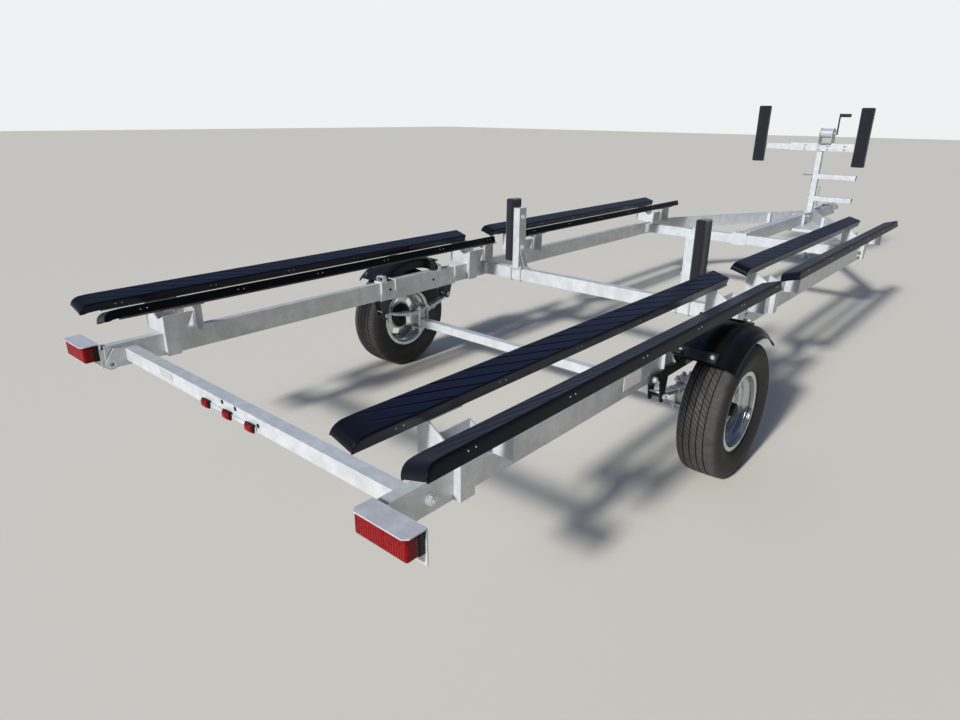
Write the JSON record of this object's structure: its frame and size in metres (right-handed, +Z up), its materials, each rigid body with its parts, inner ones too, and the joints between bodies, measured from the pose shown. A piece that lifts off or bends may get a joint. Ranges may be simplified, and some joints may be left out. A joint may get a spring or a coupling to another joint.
{
  "type": "pontoon boat trailer",
  "caption": "Galvanised boat trailer with bent side rails, tilted bunks in plastic covers, leaf-sprung axle, fenders, winch post with bow stops and a swing-up jack.",
  "frame": {"origin": "on the ground under the middle of the trailer's length and width", "axes": "+Y forward to the hitch, +X to the right, +Z up"},
  "size_m": [2.392, 7.91, 1.67],
  "materials": {
    "galvanised_steel": "hot dip galvanised, satin",
    "black_fender_plastic": "smooth moulded, satin gloss",
    "galvanised_rim": "galvanised, satin",
    "zinc_plated_steel": "zinc plated, bright",
    "black_painted_steel": "black paint, semi gloss",
    "cast_hub": "painted casting",
    "tyre_rubber": "matt rubber",
    "treated_pine": "pressure treated, rough sawn",
    "moulded_black_plastic": "ribbed, satin",
    "black_carpet": "marine carpet",
    "black_lamp_body": "moulded",
    "red_lens": "clear red acrylic, fluted"
  },
  "bodies": {
    "root": {"rail_left": "galvanised_steel", "rail_right": "galvanised_steel", "crossmember_rear": "galvanised_steel", "crossmember_middle": "galvanised_steel", "crossmember_front": "galvanised_steel", "tongue": "galvanised_steel", "tongue_saddle": "galvanised_steel", "nose_plates": "galvanised_steel", "bunk_brackets_left": "galvanised_steel", "bunk_brackets_right": "galvanised_steel", "axle": "galvanised_steel", "axle_clamps": "galvanised_steel", "axle_carriages": "galvanised_steel", "lamp_guards": "galvanised_steel", "tie_downs": "galvanised_steel", "guide_posts": "galvanised_steel", "winch_post": "galvanised_steel", "steps": "galvanised_steel", "bow_bar": "galvanised_steel", "bow_arm": "galvanised_steel", "jack_mount": "galvanised_steel", "coupler": "zinc_plated_steel", "coupler_latch": "zinc_plated_steel", "winch_frame": "zinc_plated_steel", "winch_drum": "zinc_plated_steel", "winch_handle": "black_painted_steel", "leaf_springs": "black_painted_steel", "spring_hangers": "black_painted_steel", "fender_brackets": "black_painted_steel", "fenders": "black_fender_plastic", "bunk_boards_left": "treated_pine", "bunk_boards_right": "treated_pine", "bunk_covers_left": "moulded_black_plastic", "bunk_covers_right": "moulded_black_plastic", "guide_pads": "black_carpet", "bow_pads": "black_carpet", "lamp_bases": "black_lamp_body", "lamp_lenses": "red_lens"},
    "wheel_left": {"tyre_left": "tyre_rubber", "rim_left": "galvanised_rim", "hub_left": "cast_hub"},
    "wheel_right": {"tyre_right": "tyre_rubber", "rim_right": "galvanised_rim", "hub_right": "cast_hub"},
    "jack": {"jack_tube": "zinc_plated_steel", "jack_crank": "zinc_plated_steel"},
    "jack_leg_body": {"jack_leg": "zinc_plated_steel"}
  },
  "joints": [
    {"name": "wheel_left_spin", "type": "hinge", "parent": "root", "child": "wheel_left", "pos_m": [-1.089, -2.001, 0.317], "axis": [1, 0, 0], "continuous": true},
    {"name": "wheel_right_spin", "type": "hinge", "parent": "root", "child": "wheel_right", "pos_m": [1.089, -2.001, 0.317], "axis": [1, 0, 0], "continuous": true},
    {"name": "jack_swing", "type": "hinge", "parent": "root", "child": "jack", "pos_m": [-0.135, 3.553, 0.565], "axis": [-1, 0, 0], "range_deg": [0, 90]},
    {"name": "jack_extension", "type": "slide", "parent": "jack", "child": "jack_leg_body", "axis": [0, 0, 1], "range_m": [-0.034, 0.22]}
  ]
}
